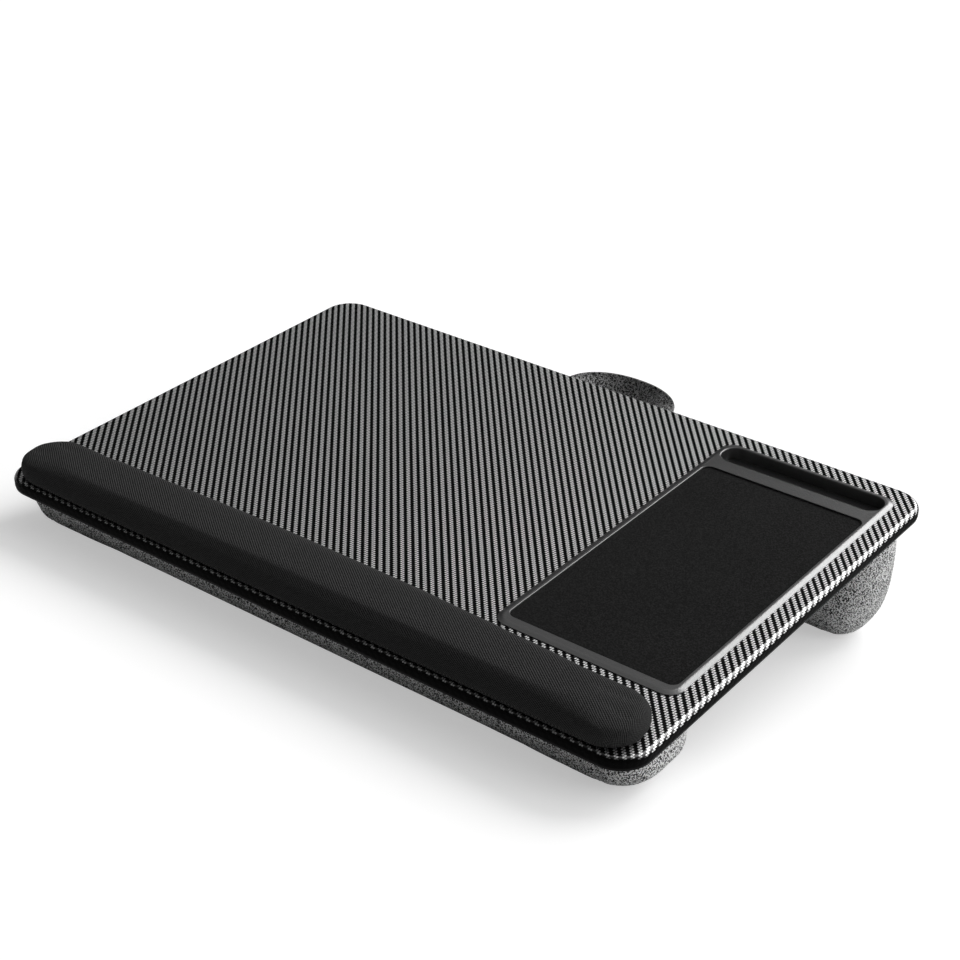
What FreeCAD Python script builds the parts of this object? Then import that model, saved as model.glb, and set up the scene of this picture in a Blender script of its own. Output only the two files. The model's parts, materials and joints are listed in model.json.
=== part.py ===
import FreeCAD, Part
import math
import os
import re
import Sketcher
from FreeCAD import Placement, Rotation, Vector

# Lap tray: a flat film-covered deck with a let-in mouse pad and phone slot, a padded wrist rest,
# two cushion bolsters below and a carry strap at the rear.
# Everything is drawn in the deck's frame: X to the right, Y to the rear, Z up, origin in the middle
# of the deck's top face. The finished pieces are then set down on the floor, tilted as they stand.

doc = FreeCAD.newDocument("LapTray")
sheet = doc.addObject("Spreadsheet::Sheet", "Sizes")

# Driving sizes, in millimetres and degrees
driving = {
    "deck_width": 600,
    "deck_depth": 416,
    "deck_thickness": 11,
    "deck_corner": 25,
    "edge_round": 4,
    "film_thickness": 0.5,
    "glue_gap": 0.1,
    "base_thickness": 3,
    "base_inset": 0.4,
    "base_round": 1.4,
    "tray_width": 153,
    "tray_gap": 15.3,
    "tray_right_margin": 17.3,
    "tray_rear_margin": 19.5,
    "tray_corner": 12,
    "tray_rise": 2,
    "tray_edge": 0.7,
    "tray_slope": 3.6,
    "tray_round": 4,
    "tray_lap": 5,
    "tray_wall": 1.8,
    "mat_thickness": 2,
    "mat_sink": 1.3,
    "mat_side_rim": 6,
    "mat_front_rim": 10,
    "mat_corner": 7,
    "mat_gap": 0.15,
    "recess_round": 0.5,
    "slot_land": 15,
    "slot_width": 24,
    "slot_corner": 11,
    "slot_rear_rim": 5,
    "slot_side_rim": 5.5,
    "slot_depth": 10.5,
    "slot_lip_round": 0.9,
    "boss_diameter": 8,
    "boss_height": 4,
    "boss_inset": 16,
    "fit_clearance": 0.3,
    "rest_end_margin": 9,
    "rest_width": 54,
    "rest_rear_bow": 7,
    "rest_height": 23,
    "rest_belly": 8,
    "rest_draw_in": 3,
    "rest_front_margin": 1.2,
    "rest_fullness": 2.5,
    "rest_end_fall": 60,
    "rest_cover": 1.2,
    "rest_plate": 3,
    "cloth_thickness": 1.2,
    "cloth_side_margin": 8,
    "cloth_front_margin": 10,
    "cloth_rear_margin": 18,
    "cover_thickness": 1.2,
    "soft_gap": 0.3,
    "bolster_end_margin": 0.8,
    "bolster_draw_in": 2,
    "bolster_belly": 0.2,
    "bolster_fullness": 2.5,
    "bolster_bow": 0.4,
    "floor_flat": 0.5,
    "front_width": 87,
    "front_drop": 36.2,
    "front_margin": 11.2,
    "front_corner": 34.3,
    "rear_width": 74,
    "rear_drop": 87,
    "rear_margin": 26.7,
    "rear_corner": 33,
    "strap_width": 26,
    "strap_thickness": 3.6,
    "strap_span": 84,
    "strap_reach": 35,
    "strap_run": 4,
    "strap_droop": 8,
    "strap_roll": 50,
    "strap_hem": 3,
    "strap_core": 1.4,
    "hinge_out": 3,
    "hinge_gap": 0.3,
    "tab_length": 16,
    "plate_margin": 2,
    "plate_thickness": 1.2,
    "tab_screw_pitch": 14,
    "screw_diameter": 3,
    "screw_head": 6.4,
    "screw_head_height": 1.9,
    "flange_head": 12,
    "hole_clearance": 0.2,
    "screw_bite": 4,
    "panel_screw_margin": 40,
    "panel_row_margin": 124,
    "rest_screw_margin": 31,
}

# Sizes that follow from the driving ones
derived = {
    "core_top": "-film_thickness - glue_gap",
    "core_bottom": "base_thickness - deck_thickness",
    "core_margin": "film_thickness + glue_gap",
    "rest_length": "deck_width - 2 * rest_end_margin",
    "rest_front": "rest_front_margin - deck_depth / 2",
    "rest_y": "rest_front + rest_width / 2",
    "rest_rear": "rest_front + rest_width + rest_rear_bow",
    "rest_screw_pitch": "(rest_length / 2 - rest_screw_margin) / 2",
    "tray_depth": "deck_depth / 2 - tray_rear_margin - rest_rear - tray_gap",
    "tray_x": "deck_width / 2 - tray_right_margin - tray_width / 2",
    "tray_y": "deck_depth / 2 - tray_rear_margin - tray_depth / 2",
    "tub_width": "tray_width - 2 * tray_lap",
    "tub_depth": "tray_depth - 2 * tray_lap",
    "tub_corner": "tray_corner - tray_lap / 2",
    "mat_width": "tray_width - 2 * mat_side_rim",
    "mat_depth": "tray_depth - mat_front_rim - slot_land - slot_width - slot_rear_rim",
    "mat_y": "tray_y - tray_depth / 2 + mat_front_rim + mat_depth / 2",
    "mat_bed": "tray_rise - mat_sink - mat_thickness",
    "tub_bottom": "mat_bed - tray_wall",
    "slot_length": "tray_width - 2 * slot_side_rim",
    "slot_y": "tray_y + tray_depth / 2 - slot_rear_rim - slot_width / 2",
    "slot_floor": "tray_rise - slot_depth",
    "trough_bottom": "slot_floor - tray_wall",
    "boss_x": "tub_width / 2 - boss_inset",
    "boss_y": "mat_depth / 2 - boss_inset",
    "boss_bottom": "tub_bottom - boss_height",
    "hole_diameter": "screw_diameter + hole_clearance",
    "head_hole": "screw_head + 2 * fit_clearance",
    "flange_hole": "flange_head + 2 * fit_clearance",
    "boss_hole": "boss_diameter + 2 * fit_clearance",
    "head_sink": "screw_head_height + fit_clearance",
    "panel_screw_wide": "deck_width / 2 - panel_screw_margin",
    "panel_screw_near": "panel_screw_wide / 3",
    "panel_screw_row": "deck_depth / 2 - panel_row_margin",
    "bolster_length": "deck_width - 2 * bolster_end_margin",
    "cloth_level": "-deck_thickness - cloth_thickness",
    "cloth_width": "deck_width - 2 * cloth_side_margin",
    "cloth_depth": "deck_depth - cloth_front_margin - cloth_rear_margin",
    "cloth_y": "(cloth_front_margin - cloth_rear_margin) / 2",
    "front_y": "front_margin - deck_depth / 2",
    "rear_y": "deck_depth / 2 - rear_margin - rear_width",
    "strap_level": "-deck_thickness - strap_thickness / 2",
    "hinge_y": "deck_depth / 2 + hinge_out",
    "tab_end": "hinge_y - strap_thickness / 2 - hinge_gap",
    "tab_start": "deck_depth / 2 - tab_length",
    "tab_y": "(tab_start + tab_end) / 2",
    "tab_bottom": "-deck_thickness - strap_thickness",
    "plate_y": "deck_depth / 2 - tab_length / 2",
    "plate_length": "tab_length - 2 * plate_margin",
    "plate_width": "strap_width - 2 * plate_margin",
    "plate_bottom": "tab_bottom - plate_thickness",
}
for row, (name, number) in enumerate(driving.items(), start=1):
    sheet.set("A%d" % row, name)
    sheet.set("B%d" % row, str(number))
    sheet.setAlias("B%d" % row, name)
for row, (name, formula) in enumerate(derived.items(), start=1):
    sheet.set("D%d" % row, name)
    sheet.set("E%d" % row, "=" + formula)
    sheet.setAlias("E%d" % row, name)
doc.recompute()
get = sheet.get


def cells(text):
    return re.sub(r"[a-z][a-z_]*", lambda word: "Sizes." + word.group(), text)


def value(text):
    return float(sheet.evalExpression(text))


# Bodies, sketches and features
def new_body(label):
    body = doc.addObject("PartDesign::Body", label)
    body.Label = label
    return body


def new_sketch(body, name, x, y, level):
    sketch = body.newObject("Sketcher::SketchObject", name)
    ground = [plane for plane in body.Origin.OriginFeatures if plane.Role == "XY_Plane"][0]
    sketch.AttachmentSupport = [(ground, "")]
    sketch.MapMode = "FlatFace"
    for axis, text in (("x", x), ("y", y), ("z", level)):
        sketch.setExpression("AttachmentOffset.Base." + axis, cells(text))
    return sketch


def rounded_rectangle(body, name, width, depth, corner, x="0", y="0", level="0"):
    sketch = new_sketch(body, name, x, y, level)
    w, d, r = value(width) / 2, value(depth) / 2, value(corner)
    up = Vector(0, 0, 1)
    centres = [(w - r, r - d), (w - r, d - r), (r - w, d - r), (r - w, r - d)]
    starts = [(r - w, -d), (w, r - d), (w - r, d), (-w, d - r)]
    ends = [(w - r, -d), (w, d - r), (r - w, d), (-w, r - d)]
    for side in range(4):
        sketch.addGeometry(Part.LineSegment(Vector(*starts[side], 0), Vector(*ends[side], 0)))
        circle = Part.Circle(Vector(*centres[side], 0), up, r)
        turn = (side - 1) * math.pi / 2
        sketch.addGeometry(Part.ArcOfCircle(circle, turn, turn + math.pi / 2))
    for edge in range(8):
        sketch.addConstraint(Sketcher.Constraint("Tangent", edge, 2, (edge + 1) % 8, 1))
    for edge, direction in ((0, "Horizontal"), (2, "Vertical"), (4, "Horizontal"), (6, "Vertical")):
        sketch.addConstraint(Sketcher.Constraint(direction, edge))
    for arc in (3, 5, 7):
        sketch.addConstraint(Sketcher.Constraint("Equal", 1, arc))
    sketch.addConstraint(Sketcher.Constraint("Symmetric", 0, 1, 4, 1, -1, 1))
    measures = (
        ("corner", Sketcher.Constraint("Radius", 1, r), corner),
        ("width", Sketcher.Constraint("DistanceX", 6, 1, 2, 1, 2 * w), width),
        ("depth", Sketcher.Constraint("DistanceY", 0, 1, 4, 1, 2 * d), depth),
    )
    for label, constraint, text in measures:
        number = sketch.addConstraint(constraint)
        sketch.renameConstraint(number, label)
        sketch.setExpression("Constraints." + label, cells(text))
    return sketch


def circles(body, name, places, diameter, x="0", y="0", level="0"):
    sketch = new_sketch(body, name, x, y, level)
    for number, place in enumerate(places):
        centre = Vector(value(place[0]), value(place[1]), 0)
        sketch.addGeometry(Part.Circle(centre, Vector(0, 0, 1), value(diameter) / 2))
        for label, text, axis in (("DistanceX", place[0], -2), ("DistanceY", place[1], -1)):
            far = (number, 3)
            if text == "0":
                sketch.addConstraint(Sketcher.Constraint("PointOnObject", *far, axis))
                continue
            origin = (-1, 1)
            order = (*far, *origin) if text.startswith("-") else (*origin, *far)
            length = text.lstrip("-")
            index = sketch.addConstraint(Sketcher.Constraint(label, *order, value(length)))
            tag = "%s%d" % (label, number)
            sketch.renameConstraint(index, tag)
            sketch.setExpression("Constraints." + tag, cells(length))
        index = sketch.addConstraint(Sketcher.Constraint("Diameter", number, value(diameter)))
        tag = "Diameter%d" % number
        sketch.renameConstraint(index, tag)
        sketch.setExpression("Constraints." + tag, cells(diameter))
    return sketch


def pad(body, sketch, length, downward=False):
    feature = body.newObject("PartDesign::Pad", sketch.Name + "Pad")
    feature.Profile = sketch
    feature.setExpression("Length", cells(length))
    feature.Reversed = downward
    doc.recompute()
    return feature


def pocket(body, sketch, length, upward=False):
    before = body.Shape.Volume
    feature = body.newObject("PartDesign::Pocket", sketch.Name + "Pocket")
    feature.Profile = sketch
    feature.setExpression("Length", cells(length))
    feature.Reversed = upward
    doc.recompute()
    if body.Shape.Volume >= before - 1e-6:
        raise RuntimeError(sketch.Name + " cuts nothing")
    return feature


# Rounds the edges that lie flat at one level, all of them or only the chosen ones
def round_edges(body, level, radius, chosen=None):
    base = body.Tip
    height = value(level)
    names = []
    for number, edge in enumerate(base.Shape.Edges, start=1):
        box = edge.BoundBox
        flat = abs(box.ZMin - height) < 1e-4 and abs(box.ZMax - height) < 1e-4
        if flat and (chosen is None or chosen(box)):
            names.append("Edge%d" % number)
    feature = body.newObject("PartDesign::Fillet", body.Name + "Round")
    feature.Base = (base, names)
    feature.setExpression("Radius", cells(radius))
    doc.recompute()
    return feature


def within(x, y, width, depth):
    reach = 1.0
    left, right = x - width / 2 - reach, x + width / 2 + reach
    near, far = y - depth / 2 - reach, y + depth / 2 + reach
    return lambda box: left < box.XMin and box.XMax < right and near < box.YMin and box.YMax < far


def solid_piece(label, shape):
    piece = doc.addObject("Part::Feature", label)
    piece.Label = label
    piece.Shape = shape
    return piece


boss_places = [(sx + "boss_x", sy + "boss_y") for sx in ("", "-") for sy in ("", "-")]
panel_places = [
    (sx + column, sy + "panel_screw_row")
    for sx in ("", "-")
    for column in ("panel_screw_wide", "panel_screw_near")
    for sy in ("", "-")
]
rest_places = [(text, "0") for text in ("-2 * rest_screw_pitch", "-rest_screw_pitch", "0",
                                        "rest_screw_pitch", "2 * rest_screw_pitch")]
tab_places = [
    (side * (get("strap_span") + turn * get("tab_screw_pitch")) / 2, get("plate_y"))
    for side in (-1, 1)
    for turn in (-1, 1)
]


# Fibreboard core with the tray's pocket, the trough's slot and the screw holes
def deck_core():
    body = new_body("deck_core")
    across = "deck_width - 2 * core_margin"
    along = "deck_depth - 2 * core_margin"
    outline = rounded_rectangle(body, "CoreOutline", across, along, "deck_corner - core_margin",
                                level="core_bottom")
    pad(body, outline, "core_top - core_bottom")
    round_edges(body, "core_top", "edge_round - core_margin")
    tub = rounded_rectangle(body, "CoreTub", "tub_width + 2 * fit_clearance", "tub_depth + 2 * fit_clearance",
                            "tub_corner + fit_clearance", "tray_x", "tray_y", "core_top")
    pocket(body, tub, "core_top - tub_bottom + hole_clearance")
    trough = rounded_rectangle(body, "CoreTrough", "slot_length + 2 * (tray_wall + fit_clearance)",
                               "slot_width + 2 * (tray_wall + fit_clearance)",
                               "slot_corner + tray_wall + fit_clearance", "tray_x", "slot_y", "core_top")
    pocket(body, trough, "core_top - core_bottom")
    bosses = circles(body, "CoreBosses", boss_places, "boss_hole", "tray_x", "mat_y", "core_top")
    pocket(body, bosses, "core_top - core_bottom")
    panel = circles(body, "CorePanelHoles", panel_places, "hole_diameter", level="core_bottom")
    pocket(body, panel, "screw_bite + fit_clearance", upward=True)
    rest = circles(body, "CoreRestHoles", rest_places, "hole_diameter", "0", "rest_y", "core_bottom")
    pocket(body, rest, "core_top - core_bottom", upward=True)
    heads = circles(body, "CoreRestHeads", rest_places, "head_hole", "0", "rest_y", "core_bottom")
    pocket(body, heads, "head_sink", upward=True)
    tabs = strap_holes(body, "CoreTabHoles", "core_bottom")
    pocket(body, tabs, "screw_bite + fit_clearance", upward=True)
    return body


def strap_holes(body, name, level):
    near = "(strap_span - tab_screw_pitch) / 2"
    far = "(strap_span + tab_screw_pitch) / 2"
    places = [(side + text, "0") for side in ("", "-") for text in (near, far)]
    return circles(body, name, places, "hole_diameter", "0", "plate_y", level)


# Printed film drawn over the core's top and edges
def carbon_film():
    body = new_body("carbon_film")
    outline = rounded_rectangle(body, "FilmOutline", "deck_width", "deck_depth", "deck_corner",
                                level="core_bottom")
    pad(body, outline, "-core_bottom")
    round_edges(body, "0", "edge_round")
    base = body.Tip
    shell = body.newObject("PartDesign::Thickness", "FilmShell")
    under = value("core_bottom")
    open_side = [n for n, face in enumerate(base.Shape.Faces, start=1) if face.BoundBox.ZMax < under + 1e-4]
    shell.Base = (base, ["Face%d" % n for n in open_side])
    shell.setExpression("Value", cells("film_thickness"))
    shell.Reversed = True
    doc.recompute()
    tub = rounded_rectangle(body, "FilmTub", "tub_width + 2 * fit_clearance", "tub_depth + 2 * fit_clearance",
                            "tub_corner + fit_clearance", "tray_x", "tray_y", "0")
    pocket(body, tub, "2 * film_thickness")
    trough = rounded_rectangle(body, "FilmTrough", "slot_length + 2 * (tray_wall + fit_clearance)",
                               "slot_width + 2 * (tray_wall + fit_clearance)",
                               "slot_corner + tray_wall + fit_clearance", "tray_x", "slot_y", "0")
    pocket(body, trough, "2 * film_thickness")
    rest = circles(body, "FilmRestHoles", rest_places, "hole_diameter", "0", "rest_y", "0")
    pocket(body, rest, "2 * film_thickness")
    return body


# Black base panel that closes the deck from below and carries the cushion
def base_panel():
    body = new_body("base_panel")
    outline = rounded_rectangle(body, "BaseOutline", "deck_width - 2 * base_inset",
                                "deck_depth - 2 * base_inset", "deck_corner - base_inset",
                                level="-deck_thickness")
    pad(body, outline, "base_thickness")
    round_edges(body, "-deck_thickness", "base_round")
    trough = rounded_rectangle(body, "BaseTrough", "slot_length + 2 * (tray_wall + fit_clearance)",
                               "slot_width + 2 * (tray_wall + fit_clearance)",
                               "slot_corner + tray_wall + fit_clearance", "tray_x", "slot_y", "core_bottom")
    pocket(body, trough, "base_thickness")
    flanges = circles(body, "BaseTrayHeads", boss_places, "flange_hole", "tray_x", "mat_y", "core_bottom")
    pocket(body, flanges, "base_thickness")
    panel = circles(body, "BasePanelHoles", panel_places, "hole_diameter", level="core_bottom")
    pocket(body, panel, "base_thickness")
    heads = circles(body, "BasePanelHeads", panel_places, "head_hole", level="-deck_thickness")
    pocket(body, heads, "head_sink", upward=True)
    tabs = strap_holes(body, "BaseTabHoles", "core_bottom")
    pocket(body, tabs, "base_thickness")
    return body


# Moulded tray: a flange on the deck, a shallow tub for the mat, a trough for the phone and screw bosses
def mouse_tray():
    body = new_body("mouse_tray")
    flange = rounded_rectangle(body, "TrayFlange", "tray_width", "tray_depth", "tray_corner",
                               "tray_x", "tray_y", "0")
    pad(body, flange, "tray_edge")
    crest = rounded_rectangle(body, "TrayCrest", "tray_width", "tray_depth", "tray_corner",
                              "tray_x", "tray_y", "tray_edge")
    slope = pad(body, crest, "tray_rise - tray_edge")
    slope.setExpression("TaperAngle", "-atan(%s)" % cells("tray_slope / (tray_rise - tray_edge)"))
    doc.recompute()
    round_edges(body, "tray_rise", "tray_round")
    tub = rounded_rectangle(body, "TrayTub", "tub_width", "tub_depth", "tub_corner", "tray_x", "tray_y", "0")
    pad(body, tub, "-tub_bottom", downward=True)
    trough = rounded_rectangle(body, "TrayTrough", "slot_length + 2 * tray_wall",
                               "slot_width + 2 * tray_wall", "slot_corner + tray_wall",
                               "tray_x", "slot_y", "0")
    pad(body, trough, "-trough_bottom", downward=True)
    bosses = circles(body, "TrayBosses", boss_places, "boss_diameter", "tray_x", "mat_y", "tub_bottom")
    pad(body, bosses, "boss_height", downward=True)
    recess = rounded_rectangle(body, "TrayRecess", "mat_width", "mat_depth", "mat_corner",
                               "tray_x", "mat_y", "tray_rise")
    pocket(body, recess, "tray_rise - mat_bed")
    slot = rounded_rectangle(body, "TraySlot", "slot_length", "slot_width", "slot_corner",
                             "tray_x", "slot_y", "tray_rise")
    pocket(body, slot, "slot_depth")
    pilots = circles(body, "TrayPilots", boss_places, "hole_diameter", "tray_x", "mat_y", "boss_bottom")
    pocket(body, pilots, "boss_height + tray_wall / 2", upward=True)
    mat_rim = within(get("tray_x"), get("mat_y"), get("mat_width"), get("mat_depth"))
    round_edges(body, "tray_rise", "recess_round", mat_rim)
    slot_rim = within(get("tray_x"), get("slot_y"), get("slot_length"), get("slot_width"))
    round_edges(body, "tray_rise", "slot_lip_round", slot_rim)
    return body


def mouse_mat():
    body = new_body("mouse_mat")
    outline = rounded_rectangle(body, "MatOutline", "mat_width - 2 * mat_gap", "mat_depth - 2 * mat_gap",
                                "mat_corner - mat_gap", "tray_x", "mat_y", "mat_bed")
    pad(body, outline, "mat_thickness")
    return body


# Pan-head screw standing head down, its seat at the origin
def screw(head, length):
    thread = Part.makeCylinder(get("screw_diameter") / 2, length)
    depth = get("screw_head_height")
    cap = Part.makeCylinder(head / 2, depth, Vector(0, 0, -depth))
    lower = [edge for edge in cap.Edges if abs(edge.BoundBox.ZMax + depth) < 1e-4]
    cap = cap.makeFillet(depth / 3, [edge for edge in lower if len(edge.Vertexes) == 1])
    return thread.fuse(cap).removeSplitter()


def screw_set(label, places, seat, tip, head):
    one = screw(head, tip - seat)
    return solid_piece(label, Part.makeCompound([one.translated(Vector(x, y, seat)) for x, y in places]))


def screws():
    bosses = [(get("tray_x") + value(x), get("mat_y") + value(y)) for x, y in boss_places]
    screw_set("tray_screws", bosses, get("core_bottom"), get("tub_bottom"), get("flange_head"))
    panel = [(value(x), value(y)) for x, y in panel_places]
    panel_seat = -get("deck_thickness") + get("head_sink")
    panel_tip = get("core_bottom") + get("screw_bite")
    screw_set("panel_screws", panel, panel_seat, panel_tip, get("screw_head"))
    rest = [(value(x), get("rest_y")) for x, y in rest_places]
    rest_seat = get("core_bottom") + get("head_sink")
    rest_tip = get("rest_plate") * 2 / 3
    screw_set("wrist_rest_screws", rest, rest_seat, rest_tip, get("screw_head"))
    screw_set("strap_screws", tab_places, get("plate_bottom"), panel_tip, get("screw_head"))


# Closed outline of a soft piece: quarter-round corners, a front side and a rear side that may bow out
def soft_outline(half, front, rear, corner, front_bow, rear_bow, level):
    slant = corner * math.sqrt(0.5)
    left, right = corner - half, half - corner
    near, far = front + corner, rear - corner

    def at(x, y):
        return Vector(x, y, level)

    def side(start, middle, end):
        straight = abs(middle.y - start.y) < 1e-6
        return Part.LineSegment(start, end).toShape() if straight else Part.Arc(start, middle, end).toShape()

    edges = [
        side(at(left, front), at(0, front - front_bow), at(right, front)),
        Part.Arc(at(right, front), at(right + slant, near - slant), at(half, near)).toShape(),
        Part.LineSegment(at(half, near), at(half, far)).toShape(),
        Part.Arc(at(half, far), at(right + slant, far + slant), at(right, rear)).toShape(),
        side(at(right, rear), at(0, rear + rear_bow), at(left, rear)),
        Part.Arc(at(left, rear), at(left - slant, far + slant), at(-half, far)).toShape(),
        Part.LineSegment(at(-half, far), at(-half, near)).toShape(),
        Part.Arc(at(-half, near), at(left - slant, near - slant), at(left, front)).toShape(),
    ]
    return Part.Wire(edges)


# Round profile of a soft piece from its widest level to its crown, an ellipse filled out at its shoulder:
# the share of the half width that is left, and the share of the way to the crown
def shoulder(fullness):
    bends = [math.radians(turn) for turn in (20, 40, 58, 74, 86)]
    power = 2 / fullness
    return [(math.cos(bend) ** power, math.sin(bend) ** power) for bend in bends]


# Side of a soft piece from a first level near its seam to its widest level: the inset and the level
def flank(draw_in, belly, first=0):
    levels = (first, (first + belly) / 2, belly)
    return [(draw_in * (1 - level / belly) ** 2, level) for level in levels]


# Closed solid through the outlines, its curves kept to the second degree so that they don't overshoot
def smooth_solid(wires):
    return Part.makeLoft(wires, True, False, False, 2)


# Bolster hanging from the cloth: drawn in at its seam, round at its lower edge, crowned below
def bolster(front, width, drop, corner, skin):
    spread = width / 2 - skin
    hang = drop - get("cloth_thickness")
    belly = hang * get("bolster_belly")
    profile = flank(get("bolster_draw_in"), belly)
    for wide, deep in shoulder(get("bolster_fullness")):
        profile.append((spread * (1 - wide), belly + (hang - skin - belly) * deep))
    wires = []
    for inset, depth in profile:
        near = front + skin + inset
        far = front + width - skin - inset
        radius = min(max(corner - skin - inset, 0.3 * (far - near)), 0.45 * (far - near))
        bow = get("bolster_bow") * (1 - inset / spread)
        half = get("bolster_length") / 2 - skin - inset
        wires.append(soft_outline(half, near, far, radius, bow, bow, get("cloth_level") - depth))
    return smooth_solid(wires)


# Wrist rest standing on the deck: drawn in at its foot, bowed at the rear, crowned on top
def wrist_form(skin, foot=0):
    belly = get("rest_belly")
    spread = get("rest_width") / 2 - skin
    rise = get("rest_height") - skin - belly
    profile = [(inset, level, 0) for inset, level in flank(get("rest_draw_in"), belly, foot)]
    for wide, high in shoulder(get("rest_fullness")):
        profile.append((spread * (1 - wide), belly + rise * high, get("rest_end_fall") * (1 - wide) ** 2))
    wires = []
    for inset, level, fall in profile:
        near = get("rest_front") + skin + inset
        far = get("rest_front") + get("rest_width") - skin - inset
        half = get("rest_length") / 2 - skin - inset - fall
        bow = get("rest_rear_bow") * (1 - inset / get("rest_width"))
        wires.append(soft_outline(half, near, far, 0.48 * (far - near), 0, bow, level))
    return smooth_solid(wires)


def slab(low, high):
    reach = get("deck_width") + get("deck_depth")
    return Part.makeBox(2 * reach, 2 * reach, high - low, Vector(-reach, -reach, low))


def wrist_rest():
    skin = get("rest_cover")
    inside = skin + get("soft_gap")
    cover = wrist_form(0).cut(wrist_form(skin))
    solid_piece("wrist_rest_cover", cover)
    foam = wrist_form(inside, get("rest_plate") + get("soft_gap"))
    solid_piece("wrist_rest_foam", foam)
    inset = inside + get("rest_draw_in")
    near = get("rest_front") + inset
    far = get("rest_front") + get("rest_width") - inset
    half = get("rest_length") / 2 - inset
    outline = soft_outline(half, near, far, (far - near) * 0.48, 0, get("rest_rear_bow") * 0.8, 0)
    plate = Part.Face(outline).extrude(Vector(0, 0, get("rest_plate")))
    hole = Part.makeCylinder(get("hole_diameter") / 2, get("rest_plate"))
    holes = [hole.translated(Vector(value(x), get("rest_y"), 0)) for x, y in rest_places]
    solid_piece("wrist_rest_plate", plate.cut(Part.makeCompound(holes)))


# Cloth that the two bolsters are sewn to, glued under the base panel
def cushion_cloth():
    body = new_body("cushion_cloth")
    outline = rounded_rectangle(body, "ClothOutline", "cloth_width", "cloth_depth",
                                "deck_corner - cloth_side_margin", "0", "cloth_y", "cloth_level")
    pad(body, outline, "cloth_thickness")
    return body


# Carry strap: sections along half an ellipse behind the deck, rolling up on edge towards the middle
def strap_section(turn, width, thickness):
    bend = math.radians(turn)
    across = get("strap_span") / 2
    reach = get("strap_reach") - get("strap_run")
    sine, cosine = math.sin(bend), math.cos(bend)
    centre = Vector(across * cosine, get("hinge_y") + get("strap_run") + reach * sine,
                    get("strap_level") - get("strap_droop") * sine)
    outward = Vector(cosine / across, sine / reach, 0).normalize()
    roll = math.radians(get("strap_roll")) * sine
    wide = outward * math.cos(roll) + Vector(0, 0, math.sin(roll))
    thick = Vector(0, 0, math.cos(roll)) - outward * math.sin(roll)
    return strap_rectangle(centre, wide * (width / 2), thick * (thickness / 2))


def strap_rectangle(centre, wide, thick):
    corners = [centre + wide + thick, centre - wide + thick, centre - wide - thick, centre + wide - thick]
    return Part.makePolygon(corners + corners[:1])


def strap_loop(width, thickness, root):
    wires = []
    for side in (1, -1):
        foot = Vector(side * get("strap_span") / 2, root, get("strap_level"))
        wires.append(strap_rectangle(foot, Vector(side * width / 2, 0, 0), Vector(0, 0, thickness / 2)))
    bends = [strap_section(turn, width, thickness) for turn in range(0, 181, 20)]
    return smooth_solid([wires[0]] + bends + [wires[1]])


def carry_strap():
    width, thickness = get("strap_width"), get("strap_thickness")
    loop = strap_loop(width, thickness, get("hinge_y"))
    for side in (1, -1):
        start = Vector(side * get("strap_span") / 2 - width / 2, get("hinge_y"), get("strap_level"))
        loop = loop.fuse(Part.makeCylinder(thickness / 2, width, start, Vector(1, 0, 0)))
    core_width = width - 2 * get("strap_hem")
    gap = get("soft_gap")
    root = get("hinge_y") + gap
    hollow = strap_loop(core_width + 2 * gap, get("strap_core") + 2 * gap, root)
    solid_piece("strap_cover", loop.cut(hollow).removeSplitter())
    solid_piece("strap_core", strap_loop(core_width, get("strap_core"), root + gap))


# Fixed ends of the strap, each held up by a steel plate and two screws
def strap_ends():
    for label, side in (("strap_tab_right", ""), ("strap_tab_left", "-")):
        body = new_body(label)
        middle = side + "strap_span / 2"
        outline = rounded_rectangle(body, label + "Outline", "strap_width", "tab_end - tab_start",
                                    "strap_hem", middle, "tab_y", "tab_bottom")
        pad(body, outline, "strap_thickness")
        places = [("-tab_screw_pitch / 2", "0"), ("tab_screw_pitch / 2", "0")]
        holes = circles(body, label + "Holes", places, "hole_diameter", middle, "plate_y", "-deck_thickness")
        pocket(body, holes, "strap_thickness")
    width, length, thick = get("plate_width"), get("plate_length"), get("plate_thickness")
    corner = Vector(-width / 2, get("plate_y") - length / 2, get("plate_bottom"))
    blank = Part.makeBox(width, length, thick, corner)
    upright = [edge for edge in blank.Edges if edge.BoundBox.ZLength > thick / 2]
    blank = blank.makeFillet(get("plate_margin"), upright)
    plates = [blank.translated(Vector(side * get("strap_span") / 2, 0, 0)) for side in (-1, 1)]
    hole = Part.makeCylinder(get("hole_diameter") / 2, thick)
    holes = [hole.translated(Vector(x, y, get("plate_bottom"))) for x, y in tab_places]
    solid_piece("strap_plates", Part.makeCompound([plate.cut(Part.makeCompound(holes)) for plate in plates]))


# The floor touches both bolsters: its slope from the deck and its distance below the deck's origin
def floor_line(forms):
    profiles = []
    for form in forms:
        cut = form.slice(Vector(1, 0, 0), 0)
        profiles.append([point for wire in cut for point in wire.discretize(400)])

    def lowest(points, tilt):
        return min(point.y * math.sin(tilt) + point.z * math.cos(tilt) for point in points)

    low, high = -math.pi / 6, math.pi / 6
    for step in range(60):
        middle = (low + high) / 2
        if lowest(profiles[0], middle) > lowest(profiles[1], middle):
            low = middle
        else:
            high = middle
    return math.degrees(low), lowest(profiles[0], low) + get("floor_flat")


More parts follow.
